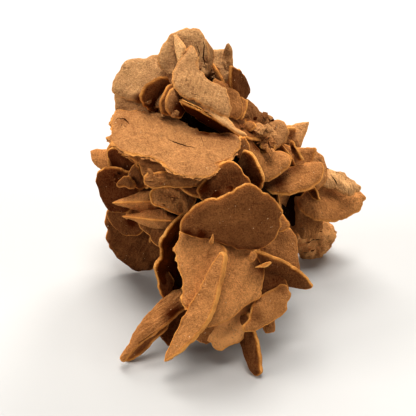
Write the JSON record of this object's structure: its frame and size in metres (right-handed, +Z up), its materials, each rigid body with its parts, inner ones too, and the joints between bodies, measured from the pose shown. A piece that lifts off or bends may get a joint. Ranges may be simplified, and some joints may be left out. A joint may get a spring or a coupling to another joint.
{
  "type": "gypsum sand rose",
  "caption": "Desert rose: a cluster of sandy brown, disc-shaped gypsum crystals grown through each other, standing on its blade tips. A display specimen.",
  "frame": {"origin": "under the middle of the bounding box, on the surface that the rose stands on", "axes": "+Z up, -Y towards the front that shows the big round front blade, +X to the right seen from the front"},
  "size_m": [0.0933, 0.0842, 0.0889],
  "materials": {
    "sand_gypsum": "matt, fine-grained sandy brown gypsum with paler worn rims"
  },
  "bodies": {
    "root": {"sand_rose": "sand_gypsum"}
  },
  "joints": []
}
